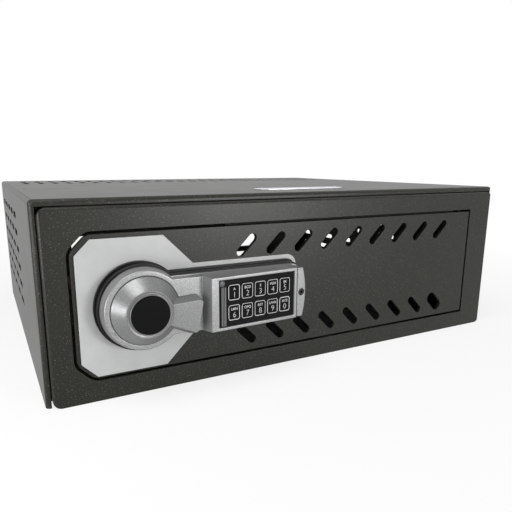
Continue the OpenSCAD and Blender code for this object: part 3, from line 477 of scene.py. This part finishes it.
class Palette:
    """Every finish on the object, by what it is made of.

    Several coats and plastics have a lower IOR than is typical for them, matched to the weak
    reflections in the photograph.
    """

    # Baked powder coat on sheet: nearly black olive, a soft sheen, an orange peel, pale flecks.
    shell = PowderCoat("olive_grey_powder_coat", "#1b1b16", roughness=0.38, ior=1.33)
    # The same powder on the inner pieces, flat and a shade darker: the darkening is painted shade
    # for the interior seen through the slots and gaps.
    shaded_inside = PowderCoat("inner_powder_coat_painted_shade", "#171715", roughness=0.6, ior=1.2)
    # Stoved enamel on a flat plate: an even light grey with a satin sheen.
    plate = Finish("light_grey_satin_enamel", "#a7a8a8", roughness=0.34)
    # Flake lacquer on a zinc casting: a grainy silver that lightens as it turns to the lamp.
    casting = CastPaint("silver_flake_lacquer", "#8d8e8e", roughness=0.34, metallic=0.55)
    # The same lacquer a shade darker: painted shade for the knob, whose faces catch less light
    # than the housing's.
    knob = CastPaint("silver_flake_lacquer_painted_shade", "#7a7b7b", roughness=0.34, metallic=0.55)
    # Moulded ABS with a fine texture: black with a broken sheen along its rim.
    base = MouldedPlastic("black_textured_abs", "#121213", roughness=0.32, ior=1.25)
    # Moulded disc with a coarser texture: satin black in the middle of the bright knob.
    cap = MouldedPlastic("satin_black_disc", "#0e0e0f", roughness=0.4, ior=1.13, texture_mm=1.2)
    # Moulded polycarbonate plate: even black that lets the pale print stand out.
    panel = MouldedPlastic("keypad_black_polycarbonate", "#141415", roughness=0.5, ior=1.14)
    # Moulded silicone keys: softer and flatter black than the plate round them.
    key = MouldedPlastic("key_black_silicone", "#121213", roughness=0.6, ior=1.12)
    # Screen-printed ink: flat pale grey, thin and crisp.
    ink = MouldedPlastic("pale_grey_print", "#bcbdbc", roughness=0.55)
    # Moulded grey ABS: dull ribs between black grooves.
    ribbed = MouldedPlastic("ribbed_grey_abs", "#6c6d6e", roughness=0.4, ior=1.3)
    # Smoked acrylic, moulded smooth: a small dark grey dot with a sharp glint.
    lens = MouldedPlastic("smoked_lens", "#4c4d4e", roughness=0.2)
    # Moulded rubber: matt, a little paler than the black plastics.
    rubber = MouldedPlastic("moulded_black_rubber", "#191919", roughness=0.7, texture_mm=0.8)
    # Bright zinc on drawn steel: cool grey metal with fine lines.
    steel = WorkedMetal("zinc_plated_steel", "#a4a6a8", roughness=0.34, metallic=1.0)
    # Rolled aluminium, uncoated: the palest metal here, with long fine lines.
    bare = WorkedMetal("bare_aluminium_plate", "#c9cbcd", roughness=0.3, metallic=1.0)
    # Turned brass: warm yellow metal.
    brass = WorkedMetal("turned_brass", "#b08d45", roughness=0.32, metallic=1.0)
    # Solder lacquer over a circuit board: glossy deep green.
    board = MouldedPlastic("green_board_lacquer", "#1f5a32", roughness=0.3)
    # Taped coil: dull dark grey.
    coil = MouldedPlastic("coil_wrap", "#3a3b3f", roughness=0.45)
    # Lacquered steel can: grey metal, duller than the plated steel.
    can = WorkedMetal("battery_can", "#7a7f86", roughness=0.38, metallic=0.8)
    # Vinyl ribbon: warm pale grey with a low sheen.
    ribbon = MouldedPlastic("ribbon_vinyl", "#9c978c", roughness=0.5)
    # Blackened steel screw: black with a small bright edge.
    screw = WorkedMetal("blackened_screw", "#0c0c0d", roughness=0.24, metallic=0.1)


@dataclass
class Workshop:
    """The loaded frame, and what every sub-assembly does with it.

    Points closer than merge_mm are one, faces that turn by less than flat_deg are one flat
    face, and the shading breaks at edges that turn by more than shade_deg.
    """

    frame: dict[str, Any]
    merge_mm: float = 0.002
    flat_deg: float = 0.4
    shade_deg: float = 40.0

    def dress(self, finish: Finish, *nodes: str) -> None:
        """Gives CAD nodes that stay in view their finish."""
        for name in nodes:
            part = self.frame["nodes"][name]
            part.data.materials.clear()
            part.data.materials.append(finish.build())
            LOG.info("dressed %s in %s", name, finish.name)

    def publish(
        self, name: str, mesh: bmesh.types.BMesh, body: str, slot: str, *finishes: Finish
    ) -> bpy.types.Object:
        """Turns a bmesh into a piece that rides on a body.

        Args:
            name: The piece's name.
            mesh: Its shape, in metres in the CAD frame. It is freed here.
            body: The body that it moves with.
            slot: The record's material slot. It is not used.
            finishes: Its finishes, in the order of the faces' material numbers.

        Returns:
            The new object.
        """
        data = bpy.data.meshes.new(name)
        mesh.to_mesh(data)
        mesh.free()
        for finish in finishes:
            data.materials.append(finish.build())
        piece = bpy.data.objects.new(name, data)
        bpy.context.scene.collection.objects.link(piece)
        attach(piece, body)
        LOG.info("made %s on %s", name, body)
        return piece

    def copied(self, node: str, faces: Faces = Faces.JOINED) -> bmesh.types.BMesh:
        """Copies a CAD node's mesh, merged.

        Args:
            node: The CAD node's name.
            faces: What its flat faces are made of.

        Returns:
            The copy, for the caller to shape and free.
        """
        mesh = bmesh.new()
        mesh.from_mesh(self.frame["nodes"][node].data)
        bmesh.ops.remove_doubles(mesh, verts=mesh.verts, dist=self.merge_mm * MM)
        if faces is Faces.JOINED:
            bmesh.ops.dissolve_limit(
                mesh,
                angle_limit=math.radians(self.flat_deg),
                verts=mesh.verts,
                edges=mesh.edges,
            )
        return mesh

    def rounded(
        self,
        node: str,
        width_mm: float,
        slot: str,
        *finishes: Finish,
        sharp: float = 35.0,
        steps: int = 2,
        overlap: Overlap = Overlap.FULL,
        faces: Faces = Faces.JOINED,
    ) -> bpy.types.Object:
        """Makes a piece that stands for a CAD node, with its outer edges rounded.

        Args:
            node: The CAD node's name.
            width_mm: Width of the rounding.
            slot: The record's material slot.
            finishes: The piece's finishes.
            sharp: Edges that turn by more than this many degrees are rounded.
            steps: Segments across each rounding.
            overlap: What the rounding does where small shapes lie close together.
            faces: What the flat faces are made of meanwhile.

        Returns:
            The new piece, which hides the node.
        """
        mesh = self.copied(node, faces)
        turn = math.radians(sharp)
        picked = [
            e
            for e in mesh.edges
            if len(e.link_faces) == 2 and e.calc_face_angle(0.0) > turn and e.is_convex
        ]
        bmesh.ops.bevel(
            mesh,
            geom=picked,
            offset=width_mm * MM,
            offset_type="OFFSET",
            segments=steps,
            profile=0.5,
            affect="EDGES",
            clamp_overlap=overlap is Overlap.NARROWED,
            material=-1,
        )
        piece = self.publish(
            node + "_finished", mesh, body_of(self.frame["nodes"][node])[0], slot, *finishes
        )
        self.smooth(piece)
        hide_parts(node)
        return piece

    def smooth(self, piece: bpy.types.Object) -> None:
        """Shades a piece smoothly, but keeps its flat faces flat."""
        piece.data.shade_smooth()
        piece.data.set_sharp_from_angle(angle=math.radians(self.shade_deg))
        weighted = piece.modifiers.new("flat_faces", "WEIGHTED_NORMAL")
        weighted.keep_sharp = True


@dataclass
class CabinetShell:
    """The folded shell, frame and sheets that stand still, with their roundings in mm."""

    shop: Workshop
    sheet_edge: float = 0.35
    badge_edge: float = 0.2

    def build(self) -> None:
        """Rounds the sheets' cut edges and dresses the small parts."""
        shop = self.shop
        for node in ("outer_shell", "front_frame", "back_panel"):
            shop.rounded(node, self.sheet_edge, "shell_paint", Palette.shell)
        shop.rounded("floor_pan", self.sheet_edge, "inner_paint", Palette.shaded_inside)
        shop.rounded("badge_plate", self.badge_edge, "bare_plate", Palette.bare)
        shop.dress(Palette.bare, "badge_rivets")
        shop.dress(Palette.shaded_inside, "keeper_bar", "door_stops", "frame_hinge_lugs", "hinge_pins")
        shop.dress(Palette.rubber, "stop_bumpers", "cable_window_trims")


@dataclass
class Door:
    """The slotted door plate and what is welded behind it, with their roundings in mm."""

    shop: Workshop
    plate_edge: float = 0.4
    stiffener_edge: float = 0.3
    case_edge: float = 0.5

    def build(self) -> None:
        """Rounds the plate's edges and dresses the back."""
        shop = self.shop
        shop.rounded("door_panel", self.plate_edge, "shell_paint", Palette.shell)
        shop.rounded("door_stiffener", self.stiffener_edge, "inner_paint", Palette.shaded_inside)
        shop.rounded("lock_case", self.case_edge, "inner_paint", Palette.shaded_inside)
        shop.dress(Palette.shaded_inside, "door_hinge_ears")
        shop.dress(Palette.steel, "housing_screws", "case_screws")


@dataclass
class LockCasting:
    """The plate, black base, silver casting and knob on the door's front, roundings in mm.

    The knob is rounded at shallower edges too, so its own sharp angle is lower.
    """

    shop: Workshop
    plate_edge: float = 0.35
    base_edge: float = 0.5
    casting_edge: float = 0.45
    casting_steps: int = 3
    knob_edge: float = 0.35
    knob_sharp: float = 28.0
    cap_edge: float = 0.2
    screw_edge: float = 0.3

    def build(self) -> None:
        """Rounds each casting and dresses its small parts."""
        shop = self.shop
        shop.rounded("lock_plate", self.plate_edge, "light_plate", Palette.plate)
        shop.rounded("lock_base", self.base_edge, "black_base", Palette.base)
        shop.rounded(
            "lock_housing",
            self.casting_edge,
            "silver_casting",
            Palette.casting,
            steps=self.casting_steps,
            faces=Faces.TRIANGLES,
        )
        shop.rounded("end_cap", self.casting_edge, "silver_casting", Palette.casting)
        shop.rounded(
            "knob", self.knob_edge, "silver_casting", Palette.knob, sharp=self.knob_sharp
        )
        shop.rounded("knob_cap", self.cap_edge, "satin_black", Palette.cap)
        shop.rounded("end_screw", self.screw_edge, "black_base", Palette.screw)


@dataclass
class Keypad:
    """Ten keys on a sloping face, each with its outline, numeral and letters, in mm."""

    shop: Workshop
    # The knob's axis on the door's front, where the sloping face starts beside it, and how far
    # that face turns, in degrees.
    lock_mm: tuple[float, float, float] = (-159.0, -190.0, 70.0)
    face_left: float = 46.0
    face_out: float = 30.2
    face_tilt: float = 3.45
    # The grid of keys along the face.
    columns: int = 5
    key_first: float = 18.9
    pitch_x: float = 11.5
    pitch_z: float = 15.5
    # Depths behind the face: a key's top, which its outline stands proud of, and the bar's ribs.
    # The bar's faces that lie deeper than its ribs by the margin are its grooves.
    key_top: float = 0.95
    outline_rise: float = 0.06
    bar_sink: float = 0.8
    groove_margin: float = 0.1
    # Rounding of the small plastic edges.
    small_edge: float = 0.12
    # The print: heights of capitals, widening of strokes, places on a key, thickness.
    numeral_mm: float = 4.3
    letter_mm: float = 2.0
    numeral_stroke: float = -0.1
    letter_stroke: float = 0.02
    numeral_rise: float = -2.0
    letter_rise: float = 2.6
    print_right: float = 0.3
    print_mm: float = 0.02
    # A capital's height as a share of the font's size.
    capital_share: float = 0.7
    labels: tuple[tuple[str, str], ...] = (
        ("1", "A"),
        ("2", "BCD"),
        ("3", "E"),
        ("4", "FGH"),
        ("5", "IJK"),
        ("6", "LMN"),
        ("7", "OPQ"),
        ("8", "RST"),
        ("9", "UVW"),
        ("0", "XYZ"),
    )

    def on_face(self) -> Matrix:
        """Matrix from the sloping face's own millimetres to metres in the frame."""
        x, y, z = self.lock_mm
        place = Matrix.Translation(Vector((x + self.face_left, y - self.face_out, z)) * MM)
        turn = Matrix.Rotation(math.radians(self.face_tilt), 4, "Z")
        return place @ turn @ Matrix.Scale(MM, 4)

    def lettering(
        self, text: str, height: float, stroke: float, centre: tuple[float, float]
    ) -> bpy.types.Mesh:
        """Makes flat printed characters as a mesh.

        Args:
            text: The characters.
            height: Height of a capital, in millimetres.
            stroke: How much the strokes are widened on each side, in millimetres.
            centre: Middle of the characters on the face, in millimetres.

        Returns:
            The mesh, in metres in the frame.
        """
        curve = bpy.data.curves.new("lettering", "FONT")
        curve.body = text
        curve.size = height / self.capital_share
        curve.extrude = self.print_mm
        curve.offset = stroke
        curve.align_x = "CENTER"
        curve.align_y = "CENTER"
        holder = bpy.data.objects.new("lettering", curve)
        bpy.context.scene.collection.objects.link(holder)
        bpy.context.view_layer.update()
        made = bpy.data.meshes.new_from_object(holder)
        bpy.data.objects.remove(holder)
        bpy.data.curves.remove(curve)
        upright = Matrix.Rotation(math.radians(90), 4, "X")
        seat = Matrix.Translation((centre[0], self.key_top - self.print_mm, centre[1]))
        made.transform(self.on_face() @ seat @ upright)
        return made

    def build_key(self, order: int, numeral: str, letters: str) -> None:
        """Makes one key and its print.

        Args:
            order: The key's place, counted along the rows from the top left.
            numeral: Its number.
            letters: The letters above the number.
        """
        node = "key_" + numeral
        key = self.shop.rounded(
            node,
            self.small_edge,
            "key_plastic",
            Palette.key,
            Palette.ink,
            steps=1,
            overlap=Overlap.NARROWED,
        )
        back = self.on_face().inverted()
        for face in key.data.polygons:
            depth = (back @ face.center).y
            face.material_index = 1 if depth < self.key_top - self.outline_rise else 0
        x = self.key_first + (order % self.columns) * self.pitch_x + self.print_right
        # The two rows lie half a pitch above and below the middle of the face.
        z = (0.5 - order // self.columns) * self.pitch_z
        print_mesh = bmesh.new()
        for text, height, stroke, rise in (
            (numeral, self.numeral_mm, self.numeral_stroke, self.numeral_rise),
            (letters, self.letter_mm, self.letter_stroke, self.letter_rise),
        ):
            made = self.lettering(text, height, stroke, (x, z + rise))
            print_mesh.from_mesh(made)
            bpy.data.meshes.remove(made)
        self.shop.publish(node + "_print", print_mesh, node, "key_plastic", Palette.ink)

    def build(self) -> None:
        """Makes the key plate, the bar beside it and the ten keys."""
        shop = self.shop
        shop.rounded(
            "keypad_panel",
            self.small_edge,
            "black_base",
            Palette.panel,
            overlap=Overlap.NARROWED,
        )
        bar = shop.rounded(
            "indicator_bar",
            self.small_edge,
            "grey_plastic",
            Palette.ribbed,
            Palette.panel,
            overlap=Overlap.NARROWED,
        )
        back = self.on_face().inverted()
        for face in bar.data.polygons:
            depth = (back @ face.center).y
            face.material_index = 0 if depth < self.bar_sink + self.groove_margin else 1
        shop.dress(Palette.lens, "indicator_lens")
        shop.dress(Palette.rubber, "key_mat")
        shop.dress(Palette.board, "keypad_board")
        shop.dress(Palette.ribbon, "keypad_cable")
        for order, (numeral, letters) in enumerate(self.labels):
            self.build_key(order, numeral, letters)


@dataclass
class BoltWork:
    """The bolts, cam, blocking pin and electric parts behind the door, roundings in mm."""

    shop: Workshop
    bolt_edge: float = 0.3
    tray_edge: float = 0.4
    battery_edge: float = 1.5

    def build(self) -> None:
        """Dresses the bolt work and the electric parts."""
        shop = self.shop
        shop.dress(Palette.shaded_inside, "bolt_guides")
        shop.dress(Palette.steel, "bolt_bar", "bar_stud")
        shop.rounded("deadbolts", self.bolt_edge, "plated_steel", Palette.steel)
        shop.dress(Palette.steel, "spindle", "cam_screw", "plunger", "plunger_spring")
        shop.dress(Palette.brass, "drive_cam")
        shop.dress(Palette.coil, "solenoid")
        shop.dress(Palette.board, "control_board")
        shop.rounded("battery_tray", self.tray_edge, "black_base", Palette.base)
        shop.rounded("battery_door", self.tray_edge, "black_base", Palette.base)
        shop.rounded("battery", self.battery_edge, "battery_can", Palette.can)


@dataclass(frozen=True)
class Softbox:
    """A soft rectangular lamp, with its lengths in metres."""

    name: str
    place: tuple[float, float, float]
    aim: tuple[float, float, float]
    width: float
    height: float
    watts: float


@dataclass
class Studio:
    """Camera, pale floor and soft light."""

    # Where the photograph was taken from: angles in degrees, lens and sensor in mm.
    camera_mm: tuple[float, float, float] = (-253.49, -539.10, 170.84)
    yaw: float = 27.957
    pitch: float = 12.785
    roll: float = 0.152
    lens: float = 35.034
    sensor: float = 36.0
    shift: tuple[float, float] = (0.01684, 0.04078)
    clip_m: tuple[float, float] = (0.01, 50.0)
    # The floor shows its own shading, and so the shadow, for a share of 1 - white_near as far as
    # the first distance of shadow_m. That fades out at the second one, where it is plain white.
    floor_m: float = 6.0
    floor_colour: str = "#f4f4f4"
    shadow_m: tuple[float, float] = (0.32, 0.7)
    white_near: float = 0.8
    sky: float = 0.42
    lamps: tuple[Softbox, ...] = (
        Softbox("top_softbox", (-0.45, -0.42, 1.2), (-0.05, -0.1, 0.07), 0.7, 0.7, 8.0),
        Softbox("left_softbox", (-0.54, -0.32, 0.09), (-0.2, -0.17, 0.07), 0.26, 0.14, 0.9),
        Softbox("front_softbox", (0.6, -1.6, 0.16), (0.0, -0.19, 0.07), 0.36, 0.36, 13.5),
    )

    def camera(self) -> None:
        """Places the camera where the photograph was taken from."""
        data = bpy.data.cameras.new("view")
        data.sensor_width = self.sensor
        data.lens = self.lens
        data.shift_x, data.shift_y = self.shift
        data.clip_start, data.clip_end = self.clip_m
        camera = bpy.data.objects.new("view", data)
        camera.location = Vector(self.camera_mm) * MM
        turn = (
            Matrix.Rotation(math.radians(-self.yaw), 4, "Z")
            @ Matrix.Rotation(math.radians(90 - self.pitch), 4, "X")
            @ Matrix.Rotation(math.radians(self.roll), 4, "Z")
        )
        camera.rotation_euler = turn.to_euler()
        bpy.context.scene.collection.objects.link(camera)
        bpy.context.scene.camera = camera

    def floor(self) -> None:
        """Lays a pale floor that shows white and keeps the cabinet's shadow."""
        mesh = bmesh.new()
        bmesh.ops.create_grid(mesh, x_segments=1, y_segments=1, size=self.floor_m)
        data = bpy.data.meshes.new("floor")
        mesh.to_mesh(data)
        mesh.free()
        ground = bpy.data.objects.new("floor", data)
        bpy.context.scene.collection.objects.link(ground)
        material = bpy.data.materials.new("pale_floor")
        material.use_nodes = True
        tree = material.node_tree
        tree.nodes.clear()
        matt = add(tree, "ShaderNodeBsdfDiffuse", {"Color": linear(self.floor_colour)})
        white = add(tree, "ShaderNodeEmission", {"Color": (1, 1, 1, 1), "Strength": 1.0})
        path = add(tree, "ShaderNodeLightPath", {})
        place = add(tree, "ShaderNodeTexCoord", {}).outputs["Object"]
        away = add(tree, "ShaderNodeVectorMath", {0: place}, operation="LENGTH")
        share = add(
            tree,
            "ShaderNodeMapRange",
            {
                "Value": away.outputs["Value"],
                "From Min": self.shadow_m[0],
                "From Max": self.shadow_m[1],
                "To Min": self.white_near,
                "To Max": 1.0,
            },
        )
        direct = add(
            tree,
            "ShaderNodeMath",
            {0: path.outputs["Is Camera Ray"], 1: path.outputs["Is Glossy Ray"]},
            operation="MAXIMUM",
        )
        seen = add(
            tree,
            "ShaderNodeMath",
            {0: direct.outputs[0], 1: share.outputs[0]},
            operation="MULTIPLY",
        )
        mixed = add(
            tree,
            "ShaderNodeMixShader",
            {0: seen.outputs[0], 1: matt.outputs[0], 2: white.outputs[0]},
        )
        add(tree, "ShaderNodeOutputMaterial", {"Surface": mixed.outputs[0]})
        data.materials.append(material)

    def world(self) -> None:
        """Sets a white background and a soft grey light from all round."""
        world = bpy.data.worlds.new("studio")
        world.use_nodes = True
        tree = world.node_tree
        tree.nodes.clear()
        path = add(tree, "ShaderNodeLightPath", {})
        straight = add(
            tree,
            "ShaderNodeMath",
            {0: path.outputs["Is Camera Ray"], 1: path.outputs["Is Transmission Ray"]},
            operation="MAXIMUM",
        )
        seen = add(
            tree,
            "ShaderNodeMath",
            {0: straight.outputs[0], 1: path.outputs["Is Glossy Ray"]},
            operation="MAXIMUM",
        )
        soft = add(tree, "ShaderNodeBackground", {"Color": (1, 1, 1, 1), "Strength": self.sky})
        white = add(tree, "ShaderNodeBackground", {"Color": (1, 1, 1, 1), "Strength": 1.0})
        mixed = add(
            tree,
            "ShaderNodeMixShader",
            {0: seen.outputs[0], 1: soft.outputs[0], 2: white.outputs[0]},
        )
        add(tree, "ShaderNodeOutputWorld", {"Surface": mixed.outputs[0]})
        bpy.context.scene.world = world

    def lights(self) -> None:
        """Hangs the soft lamps."""
        for box in self.lamps:
            data = bpy.data.lights.new(box.name, "AREA")
            data.shape = "RECTANGLE"
            data.size, data.size_y, data.energy = box.width, box.height, box.watts
            lamp = bpy.data.objects.new(box.name, data)
            lamp.visible_camera = False
            lamp.location = Vector(box.place)
            toward = Vector(box.aim) - Vector(box.place)
            lamp.rotation_euler = toward.to_track_quat("-Z", "Y").to_euler()
            bpy.context.scene.collection.objects.link(lamp)

    def build(self) -> None:
        """Sets up the whole studio."""
        self.camera()
        self.floor()
        self.world()
        self.lights()
        bpy.context.scene.view_settings.view_transform = "Standard"


def main() -> None:
    """Loads the frame, builds each sub-assembly in order and sets up the studio."""
    logging.basicConfig(level=logging.INFO, format="%(name)s: %(message)s")
    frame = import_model()
    shop = Workshop(frame)
    for part in (
        CabinetShell(shop),
        Door(shop),
        LockCasting(shop),
        Keypad(shop),
        BoltWork(shop),
    ):
        part.build()
    Studio().build()


if __name__ == "__main__":
    main()
